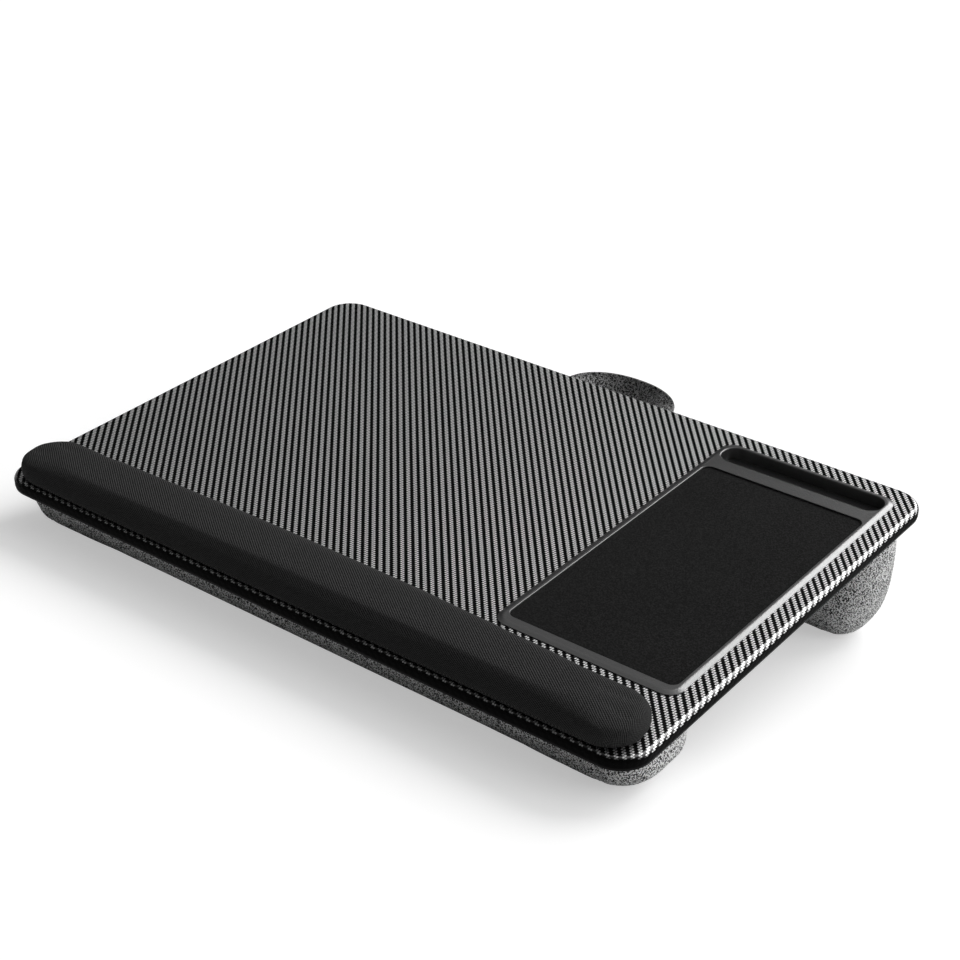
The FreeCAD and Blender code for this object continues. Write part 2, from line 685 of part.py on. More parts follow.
def cushion():
    cushion_cloth()
    places = {
        "front_bolster": ("front_y", "front_width", "front_drop", "front_corner"),
        "rear_bolster": ("rear_y", "rear_width", "rear_drop", "rear_corner"),
    }
    measures = {name: [get(word) for word in words] for name, words in places.items()}
    forms = {name: bolster(*numbers, 0) for name, numbers in measures.items()}
    tilt, depth = floor_line(list(forms.values()))
    ground = slab(depth - get("rear_drop"), depth)
    ground.rotate(Vector(0, 0, 0), Vector(1, 0, 0), -tilt)
    skin = get("cover_thickness")
    for name, numbers in measures.items():
        cover = forms[name].cut(bolster(*numbers, skin)).cut(ground)
        solid_piece(name + "_cover", cover)
        fill = bolster(*numbers, skin + get("soft_gap"))
        solid_piece(name + "_fill", fill)
    return tilt, depth


deck_core()
carbon_film()
base_panel()
mouse_tray()
mouse_mat()
screws()
wrist_rest()
tilt, depth = cushion()
carry_strap()
strap_ends()
doc.recompute()

pieces = [thing for thing in doc.Objects if thing.TypeId in ("PartDesign::Body", "Part::Feature")]
turn = Rotation(Vector(1, 0, 0), tilt)
whole = Part.makeCompound([piece.Shape for piece in pieces])
whole.Placement = Placement(Vector(0, 0, 0), turn)
reach = whole.optimalBoundingBox(False, False)
seat = Placement(Vector(0, -(reach.YMin + reach.YMax) / 2, -depth), turn)
for piece in pieces:
    piece.Placement = seat
doc.recompute()

for thing in doc.Objects:
    if "Invalid" in thing.State or "Error" in thing.State:
        raise RuntimeError(thing.Label + " failed")
for piece in pieces:
    if piece.Shape.isNull() or not piece.Shape.isValid():
        raise RuntimeError(piece.Label + " has no valid shape")

os.makedirs("parts", exist_ok=True)
for piece in pieces:
    piece.Shape.exportStep(os.path.join("parts", piece.Label + ".step"))
print("pieces", len(pieces), "tilt", round(tilt, 3), "seat", [round(v, 3) for v in seat.Base])
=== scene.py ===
import json
import math

import bpy
import numpy as np
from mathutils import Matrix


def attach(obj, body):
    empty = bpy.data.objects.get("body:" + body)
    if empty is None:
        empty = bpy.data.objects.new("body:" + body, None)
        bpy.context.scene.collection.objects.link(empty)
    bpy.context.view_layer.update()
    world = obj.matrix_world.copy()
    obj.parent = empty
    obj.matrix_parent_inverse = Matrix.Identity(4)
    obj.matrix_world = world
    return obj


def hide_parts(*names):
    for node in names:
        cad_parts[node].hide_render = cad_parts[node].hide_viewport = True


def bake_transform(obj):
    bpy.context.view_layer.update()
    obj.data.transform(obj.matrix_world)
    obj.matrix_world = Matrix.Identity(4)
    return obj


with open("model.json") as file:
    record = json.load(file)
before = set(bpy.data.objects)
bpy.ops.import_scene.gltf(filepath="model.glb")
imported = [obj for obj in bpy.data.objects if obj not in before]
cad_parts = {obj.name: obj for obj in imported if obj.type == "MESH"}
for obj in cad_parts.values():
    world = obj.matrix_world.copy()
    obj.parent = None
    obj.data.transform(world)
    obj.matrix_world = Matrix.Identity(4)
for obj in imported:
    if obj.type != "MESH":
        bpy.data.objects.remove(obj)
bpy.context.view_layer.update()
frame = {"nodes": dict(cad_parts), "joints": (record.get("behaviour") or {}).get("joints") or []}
scene = bpy.context.scene
scene.view_settings.view_transform = "Standard"


def nodePoints(node):
    mesh = frame["nodes"][node].data
    points = np.empty(len(mesh.vertices) * 3)
    mesh.vertices.foreach_get("co", points)
    return points.reshape(-1, 3)


# The deck's own frame: its tilt from the flat mat's normal, its origin in the middle of the film's top
matPoints = nodePoints("mouse_mat")
matNormal = np.linalg.svd(matPoints - matPoints.mean(0), full_matrices=False)[2][2]
matNormal *= np.sign(matNormal[2])
tilt = math.atan2(-matNormal[1], matNormal[2])
sine, cosine = math.sin(tilt), math.cos(tilt)
deckTurn = np.array([[1, 0, 0], [0, cosine, -sine], [0, sine, cosine]])
filmPoints = nodePoints("carbon_film") @ deckTurn
filmLow, filmHigh = filmPoints.min(0), filmPoints.max(0)
deckOrigin = deckTurn @ np.append((filmLow + filmHigh)[:2] / 2, filmHigh[2])
print("deck frame: tilt %.2f degrees, origin %s" % (math.degrees(tilt), deckOrigin.round(4)))


def toDeck(points):
    return (points - deckOrigin) @ deckTurn


def toRoom(points):
    return points @ deckTurn.T + deckOrigin


def deckBox(node):
    points = toDeck(nodePoints(node))
    return points.min(0), points.max(0)


class Wire:
    # an output that takes part in Python sums, each operator adding a Math node
    def __init__(self, finish, socket):
        self.finish = finish
        self.socket = socket

    def __add__(self, other):
        return self.finish.math("ADD", self, other)

    def __radd__(self, other):
        return self.finish.math("ADD", other, self)

    def __sub__(self, other):
        return self.finish.math("SUBTRACT", self, other)

    def __rsub__(self, other):
        return self.finish.math("SUBTRACT", other, self)

    def __mul__(self, other):
        return self.finish.math("MULTIPLY", self, other)

    def __rmul__(self, other):
        return self.finish.math("MULTIPLY", other, self)

    def __truediv__(self, other):
        return self.finish.math("DIVIDE", self, other)

    def __mod__(self, other):
        return self.finish.math("FLOORED_MODULO", self, other)

    def __lt__(self, other):
        return self.finish.math("LESS_THAN", self, other)


class Finish:
    # a material whose Principled shader gets fixed values first and patterns after
    def __init__(self, name, fixed):
        self.material = bpy.data.materials.new(name)
        self.material.use_nodes = True
        self.tree = self.material.node_tree
        self.shader = self.tree.nodes["Principled BSDF"]
        self.shade(fixed)

    def shade(self, values):
        for name, given in values.items():
            self.feed(self.shader.inputs[name], given)

    def feed(self, socket, given):
        if isinstance(given, Wire):
            self.tree.links.new(given.socket, socket)
        else:
            socket.default_value = given

    def node(self, kind, settings, sockets, output=0):
        made = self.tree.nodes.new("ShaderNode" + kind)
        for name, setting in settings.items():
            if name == "stops":
                self.setStops(made.color_ramp, setting)
            else:
                setattr(made, name, setting)
        for name, given in sockets.items():
            self.feed(made.inputs[name], given)
        return Wire(self, made.outputs[output])

    def setStops(self, ramp, stops):
        while len(ramp.elements) < len(stops):
            ramp.elements.new(1)
        for element, (place, level) in zip(ramp.elements, stops):
            element.position = place
            element.color = grey(level)

    def math(self, operation, first, second=0.0):
        return self.node("Math", {"operation": operation}, {0: first, 1: second})

    def floor(self, value):
        return self.math("FLOOR", value)

    def part(self, value):
        return self.math("FRACT", value)

    def wave(self, value):
        return self.math("SINE", value)

    def smooth(self, value, low, high):
        settings = {"interpolation_type": "SMOOTHSTEP"}
        return self.node("MapRange", settings, {"Value": value, "From Min": low, "From Max": high})

    def mix(self, factor, first, second):
        return self.node("Mix", {"data_type": "RGBA"}, {0: factor, 6: first, 7: second}, 2)

    def split(self, vector):
        return [self.node("SeparateXYZ", {}, {0: vector}, axis) for axis in "XYZ"]

    def join(self, x, y, z):
        return self.node("CombineXYZ", {}, {"X": x, "Y": y, "Z": z})

    # the place in the deck's own frame, in metres
    def deckPlace(self):
        place = self.node("TexCoord", {}, {}, "Object")
        sockets = {"Vector": place, "Location": tuple(deckOrigin), "Rotation": (tilt, 0, 0)}
        return self.node("Mapping", {"vector_type": "TEXTURE"}, sockets)

    # the normal's shares to the right and to the rear, in the deck's own frame
    def facing(self):
        normalX, normalY, normalZ = self.split(self.node("TexCoord", {}, {}, "Normal"))
        return normalX, normalY * cosine + normalZ * sine

    # the deck's x and y with the sides folded up level with the height: place - normal * (z - height)
    def unfolded(self, height):
        x, y, z = self.split(self.deckPlace())
        rightward, rearward = self.facing()
        down = height - z
        return x + rightward * down, y + rearward * down

    def noise(self, vector, scale, detail=2.0):
        return self.node("TexNoise", {}, {"Vector": vector, "Scale": scale, "Detail": detail}, "Fac")

    def bump(self, height, distance, strength=1.0):
        sockets = {"Height": height, "Distance": distance, "Strength": strength}
        self.shade({"Normal": self.node("Bump", {}, sockets, "Normal")})


def grey(level):
    return (level, level, level, 1.0)


weave = {
    "warpPitch": 0.00175,
    "weftPitch": 0.00208,
    "pale": 0.86,
    "joint": 0.02,
    "dark": 0.0025,
    "metal": 0.95,
    "warpKnot": (0.92, 0.22),            # a knot ends between these squared shares of the thread's width
    "weftKnot": (0.9, 0.3),
    "sunk": 0.45,                        # height of a thread where it dives, against its crown
    "fibreStretch": (9, 0.6, 1),
    "fibreScale": 900,
    "fade": (-0.0030, -0.0021),          # the pale threads darken to black down the sides, between these heights
    "frontShade": (-0.0016, -0.0002),     # painted shade: the pale threads turn black sooner on sides that face the front, between these heights
    # where the normal's share to the rear rises between these, a side stops facing the front and its
    # painted shade ends
    "frontTurn": (-0.5, -0.1),
    "flatGloss": 0.12,
    "polish": (-0.00002, -0.00012),      # the film is drawn glossy over the rim, below these
    "gloss": (-0.0024, -0.0012),         # and above these
    "ridgeFoot": (-0.0010, -0.0007),     # the painted highlight line on the bend rises between these
    "ridgeHead": (-0.0001, -0.0003),     # and ends between these
    "paintedShine": 0.22,
}


# Film with a printed 2/2 twill: square threads both ways, the upright ones on top where the thread and
# row counts add up to 0 or 1 in four; each crossing is a pale knot with a dark joint round it.
# Painted shade darkens the sides that face the front, and a painted highlight line runs along the bend
def makeTwill():
    film = Finish("twillFilm", {"Specular IOR Level": 0.02, "Coat Roughness": 0.16})
    place = film.deckPlace()
    level = film.split(place)[2]
    # painted shade: sides that face the front lose their pale threads from just below the top, standing in
    # for the shade there
    aside = film.smooth(film.facing()[1], *weave["frontTurn"])
    frontShadeFade = film.smooth(level, *weave["frontShade"])
    printWithFrontShade = film.smooth(level, *weave["fade"]) * (frontShadeFade + (1 - frontShadeFade) * aside)
    flat, sunk = weave["flatGloss"], weave["sunk"]
    polished = flat + (1 - flat) * film.smooth(level, *weave["polish"])
    x, y = film.unfolded(0.0)
    across, along = x / weave["warpPitch"], y / weave["weftPitch"]
    thread, row = film.floor(across), film.floor(along)
    warpOnTop = ((thread + row) % 4) < 2
    acrossWarp = film.part(across) * 2 - 1
    acrossWeft = film.part(along) * 2 - 1
    warpSquare, weftSquare = acrossWarp * acrossWarp, acrossWeft * acrossWeft
    warpFloat = film.wave(((thread + along) % 4) * (math.pi / 2))
    weftFloat = film.wave(((across + row) % 4 - 2) * (math.pi / 2))
    warpHeight = (1 - warpSquare) * (sunk + (1 - sunk) * warpFloat)
    weftHeight = (1 - weftSquare) * (sunk + (1 - sunk) * weftFloat)
    height = warpOnTop * warpHeight + (1 - warpOnTop) * weftHeight
    stretched = film.node("VectorMath", {"operation": "MULTIPLY"}, {0: place, 1: weave["fibreStretch"]})
    fibres = film.noise(stretched, weave["fibreScale"])
    knot = film.smooth(warpSquare, *weave["warpKnot"]) * film.smooth(weftSquare, *weave["weftKnot"])
    pale = film.mix(knot * (0.75 + 0.5 * fibres), grey(weave["joint"]), grey(weave["pale"]))
    shown = warpOnTop * printWithFrontShade
    # painted highlight: a pale, metallic line laid along the top of the bend, except on the front side,
    # stands in for the bend's highlight
    ridgeHighlight = film.smooth(level, *weave["ridgeFoot"]) * film.smooth(level, *weave["ridgeHead"]) * aside
    ridgeHighlight = ridgeHighlight * (fibres * (2 * weave["paintedShine"]))
    film.shade({
        "Base Color": film.mix(ridgeHighlight, film.mix(shown, grey(weave["dark"]), pale), grey(weave["pale"])),
        "Metallic": film.math("MAXIMUM", shown, ridgeHighlight) * weave["metal"],
        "Roughness": 0.62 - 0.15 * warpOnTop + 0.06 * fibres,
        "Coat Weight": film.smooth(level, *weave["gloss"]) * polished,
    })
    film.bump(height, 0.00012, 0.6)
    return film.material


plastics = {
    "tray": {"level": 0.040, "gloss": 0.9, "coat": 0.9, "roughness": 0.30, "grain": 1200, "depth": 1.8e-4},
    "panel": {"level": 0.006, "gloss": 0.06, "coat": 0.0, "roughness": 0.38, "grain": 900, "depth": 8e-5},
    "plate": {"level": 0.045, "gloss": 0.4, "coat": 0.0, "roughness": 0.5, "grain": 700, "depth": 1e-4},
}


# Moulded plastic with a fine leather grain: a cell pattern under two sizes of noise
def makePlastic(name):
    look = plastics[name]
    level, grain = look["level"], look["grain"]
    fixed = {"Specular IOR Level": look["gloss"], "Coat Weight": look["coat"], "Coat Roughness": 0.24}
    plastic = Finish(name + "Plastic", fixed)
    place = plastic.deckPlace()
    cells = plastic.node("TexVoronoi", {"feature": "F1"}, {"Vector": place, "Scale": grain}, "Distance")
    soft = plastic.noise(place, grain * 0.6, 3.0)
    worn = plastic.noise(place, 9.0, 3.0)
    tone = plastic.mix(worn, grey(level * 0.88), grey(level * 1.12))
    plastic.shade({"Base Color": tone, "Roughness": look["roughness"] - 0.05 + 0.1 * worn})
    plastic.bump(cells * 0.6 + soft, look["depth"])
    return plastic.material


matCloth = {"threads": 9000, "fibreScale": 900, "tone": (0.34, 0.74), "dark": 0.001, "pale": 0.0155}


# Mouse mat: close black cloth with a few paler fibres, over a weave of sine across * sine along
def makeMatCloth():
    cloth = Finish("matCloth", {"Specular IOR Level": 0.12})
    place = cloth.deckPlace()
    x, y = cloth.split(place)[:2]
    crossing = cloth.wave(x * matCloth["threads"]) * cloth.wave(y * matCloth["threads"])
    fibres = cloth.noise(place, matCloth["fibreScale"])
    worn = cloth.noise(place, 14.0, 3.0)
    tone = cloth.smooth(fibres, *matCloth["tone"])
    cloth.shade({
        "Base Color": cloth.mix(tone, grey(matCloth["dark"]), grey(matCloth["pale"])),
        "Roughness": 0.72 + 0.14 * worn,
    })
    cloth.bump(crossing * 0.25 + fibres, 0.00012)
    return cloth.material


ribs = {
    "slant": (365, 490),       # ribs a metre, across and along the deck
    "cross": (-390, 415),
    "yarn": (1120, 610),
    "heights": (0.48, 0.14, 0.22, 0.46),
    "tone": (0.32, 0.98),
    "dark": 0.004,
    "pale": 0.064,
    "level": 0.023,            # the sides are folded up to this height
}


# Wrist rest cloth: slanting ribs of small knots, crossed by weaker ones the other way; each set of ribs
# is a sine over the deck, and the height is their weighted sum with some fuzz
def makeRestMesh():
    cloth = Finish("restMesh", {"Specular IOR Level": 0.05})
    x, y = cloth.unfolded(ribs["level"])

    def stripe(counts):
        turns = (x * counts[0] + y * counts[1]) * (2 * math.pi)
        return cloth.wave(turns) * 0.5 + 0.5

    slant, cross, yarn = stripe(ribs["slant"]), stripe(ribs["cross"]), stripe(ribs["yarn"])
    fuzz = cloth.noise(cloth.deckPlace(), 1100, 3.0)
    slantShare, crossShare, yarnShare, fuzzShare = ribs["heights"]
    height = slant * slantShare + cross * crossShare + yarn * yarnShare + fuzz * fuzzShare
    tone = cloth.smooth(height, *ribs["tone"])
    cloth.shade({
        "Base Color": cloth.mix(tone, grey(ribs["dark"]), grey(ribs["pale"])),
        "Roughness": 0.78 + 0.12 * fuzz,
    })
    cloth.bump(height, 0.00035)
    return cloth.material


knits = {
    "heatherKnit": {"dark": 0.03, "middle": 0.50, "pale": 1.0},
    "strapKnit": {"dark": 0.005, "middle": 0.035, "pale": 0.36},
}
knitForm = {
    "row": 0.00082,
    "dash": 900,               # dashes a metre along a row
    "rowShift": 7.31,
    "turn": (0.6, 0.75),       # squared share of the normal where the rows turn from side to underside
    "stops": (0.445, 0.49, 0.535),
}


# Heathered knit: rows of stitches, each row cut into dark, grey and pale dashes by noise along it;
# the rows climb the sides and run across the underside
def makeKnit(name):
    knit = Finish(name, {"Specular IOR Level": 0.1})
    place = knit.deckPlace()
    x, y, z = knit.split(place)
    upward = knit.split(knit.node("TexCoord", {}, {}, "Normal"))[2]
    fuzz = knit.noise(place, 1900)
    blotch = knit.noise(place, 55.0)
    dash = knitForm["dash"]

    def dashes(across, first, second):
        rows = across / knitForm["row"]
        shift = knit.floor(rows) * knitForm["rowShift"]
        yarn = knit.noise(knit.join(first * dash, second * dash, shift), 1.0, 1.0)
        part = knit.part(rows) * 2 - 1
        return yarn, 1 - part * part

    sideYarn, sideRow = dashes(z, x, y)
    underYarn, underRow = dashes(y, x, z)
    under = knit.smooth(upward * upward, *knitForm["turn"])
    yarn = sideYarn + (underYarn - sideYarn) * under
    row = sideRow + (underRow - sideRow) * under
    value = yarn + 0.14 * (fuzz - 0.5) + 0.08 * (blotch - 0.5) + 0.06 * (row - 0.6)
    stops = list(zip(knitForm["stops"], knits[name].values()))
    colour = knit.node("ValToRGB", {"stops": stops}, {"Fac": value}, "Color")
    knit.shade({"Base Color": colour, "Roughness": 0.86 + 0.1 * fuzz})
    knit.bump(row * 0.6 + yarn + fuzz * 0.3, 0.0005)
    return knit.material


backingWeave = {"threads": 4200, "fuzzScale": 700, "tone": (0.2, 0.9), "dark": 0.010, "pale": 0.034}


# Backing cloth: plain weave of flat black threads, sine across * sine along
def makeBacking():
    cloth = Finish("backingCloth", {"Specular IOR Level": 0.2})
    place = cloth.deckPlace()
    x, y = cloth.split(place)[:2]
    crossing = cloth.wave(x * backingWeave["threads"]) * cloth.wave(y * backingWeave["threads"])
    fuzz = cloth.noise(place, backingWeave["fuzzScale"], 3.0)
    tone = cloth.smooth(crossing * 0.3 + fuzz, *backingWeave["tone"])
    cloth.shade({
        "Base Color": cloth.mix(tone, grey(backingWeave["dark"]), grey(backingWeave["pale"])),
        "Roughness": 0.82 + 0.1 * fuzz,
    })
    cloth.bump(crossing * 0.5 + fuzz, 0.0003)
    return cloth.material


# Zinc-plated steel with fine turned marks
def makeSteel():
    steel = Finish("screwSteel", {"Metallic": 1.0})
    place = steel.deckPlace()
    marks = steel.noise(place, 1800, 3.0)
    tone = steel.mix(marks, grey(0.42), grey(0.62))
    steel.shade({"Base Color": tone, "Roughness": 0.26 + 0.16 * marks})
    steel.bump(marks, 0.00005)
    return steel.material


threads = {"seamThread": 0.7, "hemThread": 0.16}


# Sewing thread: slanting plies, a wave across the thread's run
def makeThread(name):
    level = threads[name]
    thread = Finish(name, {"Specular IOR Level": 0.3})
    place = thread.deckPlace()
    x, y, z = thread.split(place)
    plies = thread.wave((x + y + z) * 5200) * 0.5 + 0.5
    fuzz = thread.noise(place, 2200)
    tone = thread.mix(plies * 0.6 + fuzz * 0.4, grey(level * 0.6), grey(level * 1.25))
    thread.shade({"Base Color": tone, "Roughness": 0.55 + 0.2 * fuzz})
    thread.bump(plies, 0.0001)
    return thread.material


# Fibreboard: brown, with pressed fibres
def makeBoard():
    board = Finish("fibreBoard", {"Specular IOR Level": 0.2})
    fibres = board.noise(board.deckPlace(), 420, 4.0)
    tone = board.mix(fibres, (0.10, 0.055, 0.025, 1), (0.30, 0.19, 0.10, 1))
    board.shade({"Base Color": tone, "Roughness": 0.8 + 0.12 * fibres})
    board.bump(fibres, 0.0002)
    return board.material


finishes = {
    "film": makeTwill(),
    "tray": makePlastic("tray"),
    "panel": makePlastic("panel"),
    "plate": makePlastic("plate"),
    "mat": makeMatCloth(),
    "rest": makeRestMesh(),
    "knit": makeKnit("heatherKnit"),
    "strapKnit": makeKnit("strapKnit"),
    "backing": makeBacking(),
    "seamThread": makeThread("seamThread"),
    "hemThread": makeThread("hemThread"),
    "steel": makeSteel(),
    "board": makeBoard(),
}
nodeFinishes = {
    "carbon_film": "film",
    "mouse_tray": "tray",
    "mouse_mat": "mat",
    "base_panel": "panel",
    "deck_core": "board",
    "wrist_rest_plate": "plate",
    "tray_screws": "steel",
    "panel_screws": "steel",
    "wrist_rest_screws": "steel",
    "strap_screws": "steel",
    "strap_plates": "steel",
}
for node, finish in nodeFinishes.items():
    mesh = frame["nodes"][node].data
    mesh.materials.clear()
    mesh.materials.append(finishes[finish])
print("finishes: %d made, %d nodes dressed" % (len(finishes), len(nodeFinishes)))


# Quads of a grid of points, row by row; the last column joins the first where the grid is closed
def gridFaces(rows, columns, closed):
    spans = columns if closed else columns - 1
    row, column = np.meshgrid(np.arange(rows - 1), np.arange(spans), indexing="ij")
    beside = (column + 1) % columns
    corners = [row * columns + column, row * columns + beside,
               (row + 1) * columns + beside, (row + 1) * columns + column]
    return np.stack(corners, -1).reshape(-1, 4).tolist()


def newPiece(name, points, faces, finish):
    mesh = bpy.data.meshes.new(name)
    mesh.from_pydata(points.reshape(-1, 3).tolist(), [], faces)
    mesh.materials.append(finishes[finish])
    mesh.shade_smooth()
    piece = bpy.data.objects.new(name, mesh)
    scene.collection.objects.link(piece)
    return piece


# The mesh as its modifiers leave it, put in place of the piece's own; the modifiers go
def settle(piece):
    bpy.context.view_layer.update()
    ready = bpy.data.meshes.new_from_object(piece.evaluated_get(bpy.context.evaluated_depsgraph_get()))
    piece.modifiers.clear()
    old = piece.data
    ready.name = old.name
    piece.data = ready
    bpy.data.meshes.remove(old)
    piece.data.shade_smooth()


def getPoints(piece):
    points = np.empty(len(piece.data.vertices) * 3)
    piece.data.vertices.foreach_get("co", points)
    return points.reshape(-1, 3)


def setPoints(piece, points):
    piece.data.vertices.foreach_set("co", points.astype(np.float32).ravel())
    piece.data.update()


def getNormals(piece):
    normals = np.empty(len(piece.data.vertices) * 3)
    piece.data.vertex_normals.foreach_get("vector", normals)
    return normals.reshape(-1, 3)


# Outlines of a soft piece, one for each level: a rectangle with round corners whose long sides bow out
# by bow * (1 - share of the half length squared); each of the eight runs has the same count of points
def softRings(half, near, far, corner, frontBow, rearBow, level, count=24):
    step = np.arange(count)[None] / count
    given = (half, near, far, corner, frontBow, rearBow, level)
    half, near, far, corner, frontBow, rearBow, level = (
        np.broadcast_to(values, level.shape)[:, None] for values in given)
    reach, low, high = half - corner, near + corner, far - corner
    turnSine, turnCosine = np.sin(step * math.pi / 2), np.cos(step * math.pi / 2)
    share = 2 * step - 1
    crown = 1 - share ** 2
    runs = [
        (reach * share, near - frontBow * crown),
        (reach + corner * turnSine, low - corner * turnCosine),
        (half + 0 * step, low + (high - low) * step),
        (reach + corner * turnCosine, high + corner * turnSine),
        (-reach * share, far + rearBow * crown),
        (-reach - corner * turnSine, high + corner * turnCosine),
        (-half + 0 * step, high - (high - low) * step),
        (-reach - corner * turnCosine, low - corner * turnSine),
    ]
    x = np.concatenate([run[0] for run in runs], 1)
    y = np.concatenate([run[1] for run in runs], 1)
    return np.stack([x, y, level + 0 * x], -1)


profileForm = {"flankSteps": 6, "bendSteps": 16, "bend": (6, 87)}     # bend in degrees


# Profile of a soft piece from seam to crown: inset = draw-in * (1 - level / belly) squared up to the
# belly, then a filled-out ellipse, whose share of the half width left is cos ** p and of the rise sin ** p
def softProfile(drawIn, belly, height, spread, fullness):
    flank = np.linspace(0, 1, profileForm["flankSteps"])
    bend = np.radians(np.linspace(*profileForm["bend"], profileForm["bendSteps"]))
    power = 2 / fullness
    wide = np.append(np.ones(len(flank)), np.cos(bend) ** power)
    inset = np.append(drawIn * (1 - flank) ** 2, spread * (1 - np.cos(bend) ** power))
    level = np.append(belly * flank, belly + (height - belly) * np.sin(bend) ** power)
    return inset, level, wide


swelling = {"frames": 20, "quality": 5, "pressure": 4}


# A pad from its rings, pinned at its seam and blown up a little by a short cloth run; no point moves
# further than the cap
def swell(piece, pinned, voxel, cap):
    remesh = piece.modifiers.new("even", "REMESH")
    remesh.mode = "VOXEL"
    remesh.voxel_size = voxel
    settle(piece)
    start = getPoints(piece)
    held = piece.vertex_groups.new(name="held")
    held.add(np.flatnonzero(pinned(start)).tolist(), 1.0, "REPLACE")
    cloth = piece.modifiers.new("swell", "CLOTH")
    cloth.settings.quality = swelling["quality"]
    cloth.settings.vertex_group_mass = "held"
    cloth.settings.use_pressure = True
    cloth.settings.uniform_pressure_force = swelling["pressure"]
    cloth.settings.effector_weights.gravity = 0
    cloth.point_cache.frame_start = 1
    cloth.point_cache.frame_end = swelling["frames"]
    for step in range(1, swelling["frames"] + 1):
        scene.frame_set(step)
    settle(piece)
    scene.frame_set(1)
    move = getPoints(piece) - start
    far = np.linalg.norm(move, axis=1, keepdims=True)
    setPoints(piece, start + move * np.minimum(1, cap / np.maximum(far, 1e-9)))
    piece.vertex_groups.clear()
    finer = piece.modifiers.new("finer", "SUBSURF")
    finer.levels = finer.render_levels = 1
    settle(piece)


# Faces of a stack of rings, closed at both ends
def capped(rings):
    rows, columns = rings.shape[:2]
    faces = gridFaces(rows, columns, True)
    first = list(range(columns))[::-1]
    last = list(range((rows - 1) * columns, rows * columns))
    return faces + [first, last]


stitchGrid = (5, 6)            # rings along a stitch, points round a ring


# Stitches along a line that lies on a surface: each a short rod sunk into the cloth at its ends;
# ring radius = radius * sqrt(1 - 0.75 t^2) and lift = radius * (0.75 - 1.2 t^2), with t from -1 to 1
def stitchPoints(line, normals, form):
    rings, around = stitchGrid
    steps = np.linalg.norm(np.diff(line, axis=0), axis=1)
    run = np.append(0, np.cumsum(steps))
    count = int(run[-1] / form["pitch"])
    share = np.linspace(-1, 1, rings)
    middles = (np.arange(count) + 0.5) * run[-1] / count
    spots = middles[:, None] + share[None] * form["length"] / 2

    def follow(values):
        return np.stack([np.interp(spots, run, values[:, axis]) for axis in range(3)], -1)

    centre, up = follow(line), follow(normals)
    up /= np.linalg.norm(up, axis=-1, keepdims=True)
    ahead = follow(np.gradient(line, run, axis=0))
    ahead /= np.linalg.norm(ahead, axis=-1, keepdims=True)
    beside = np.cross(ahead, up)
    radius = form["radius"] * np.sqrt(1 - 0.75 * share ** 2)[None, :, None, None]
    lift = form["radius"] * (0.75 - 1.2 * share ** 2)[None, :, None]
    turn = np.arange(around) * 2 * math.pi / around
    ring = np.cos(turn)[:, None] * up[:, :, None] + np.sin(turn)[:, None] * beside[:, :, None]
    return (centre + up * lift)[:, :, None] + radius * ring


def stitchFaces(stitches):
    one = capped(stitches[0])
    starts = range(0, stitches[..., 0].size, stitchGrid[0] * stitchGrid[1])
    return [[corner + start for corner in face] for start in starts for face in one]


restPad = {
    "drawIn": 0.003,
    "belly": 0.008,
    "fullness": 3.5,
    "crownDrop": 0.0036,   # the crown is flatter than the cover's box is high
    "endFall": 0.085,      # how far the crown's ends fall back
    "cornerShare": 0.48,
    "rearTrim": 0.007,
    "rearBow": 0.008,
    "shrink": -0.0006,     # less than 0: the form starts larger, because the cloth run draws it in
    "cap": 0.0022,
    "pinned": 0.004,
    "voxel": 0.004,
    "lift": 0.0002,
}


# Wrist rest: rings of the soft profile, drawn in by end fall * (1 - share of the width left) squared at
# the ends, with a rear side that bows out
def makeWristRest():
    low, high = deckBox("wrist_rest_cover")
    shrink = restPad["shrink"]
    near, far = low[1] + shrink, high[1] - restPad["rearTrim"] - shrink
    spread = (far - near) / 2
    crown = high[2] - restPad["crownDrop"] - shrink
    drawIn, belly, fullness = restPad["drawIn"], restPad["belly"], restPad["fullness"]
    inset, level, wide = softProfile(drawIn, belly, crown, spread, fullness)
    half = high[0] - shrink - inset - restPad["endFall"] * (1 - wide) ** 2
    bow = restPad["rearBow"] * (1 - inset / (2 * spread))
    width = 2 * (spread - inset)
    corner = restPad["cornerShare"] * width
    rings = softRings(half, near + inset, far - inset, corner, 0, bow, level)
    piece = newPiece("wristRest", toRoom(rings), capped(rings), "rest")
    held = restPad["pinned"]
    swell(piece, lambda points: toDeck(points)[:, 2] < held, restPad["voxel"], restPad["cap"])
    points = toDeck(getPoints(piece))
    points[:, 2] = np.maximum(points[:, 2], restPad["lift"])
    setPoints(piece, toRoom(points))
    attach(piece, "tray")
    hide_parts("wrist_rest_cover", "wrist_rest_foam")
    print("wrist rest: %d points" % len(points))


bolsters = {
    "frontBolster": {
        "cover": "front_bolster_cover",
        "fill": "front_bolster_fill",
        "hang": 0.0350,
        "corner": 0.0343,
        "endTrim": 0.0025,
        "endDraw": 0.006,
        "fullness": 2.5,
    },
    "rearBolster": {
        "cover": "rear_bolster_cover",
        "fill": "rear_bolster_fill",
        "hang": 0.0858,
        "corner": 0.0330,
        "endTrim": 0.0006,
        "endDraw": 0.0,
        "fullness": 2.8,
    },
}
bolsterForm = {
    "drawIn": 0.002,
    "belly": 0.2,          # share of the hang
    "bow": 0.0004,
    "cornerShares": (0.3, 0.45),
    "endDrawDepth": 0.6,
    "shrink": -0.0012,     # less than 0: the form starts larger, because the cloth run draws it in
    "cap": 0.0025,
    "pinned": 0.004,
    "voxel": 0.005,
    "pucker": 0.0007,
    "puckerPitch": 0.019,
    "puckerDepth": 0.011,
    "groove": 0.0008,      # depth of the end seams
    "grooveWidth": 0.0030,
    "seamSteps": 160,
    "lift": 0.0002,
    "floorGap": 0.0003,
}
seamStitch = {"pitch": 0.0052, "length": 0.0038, "radius": 0.00042}


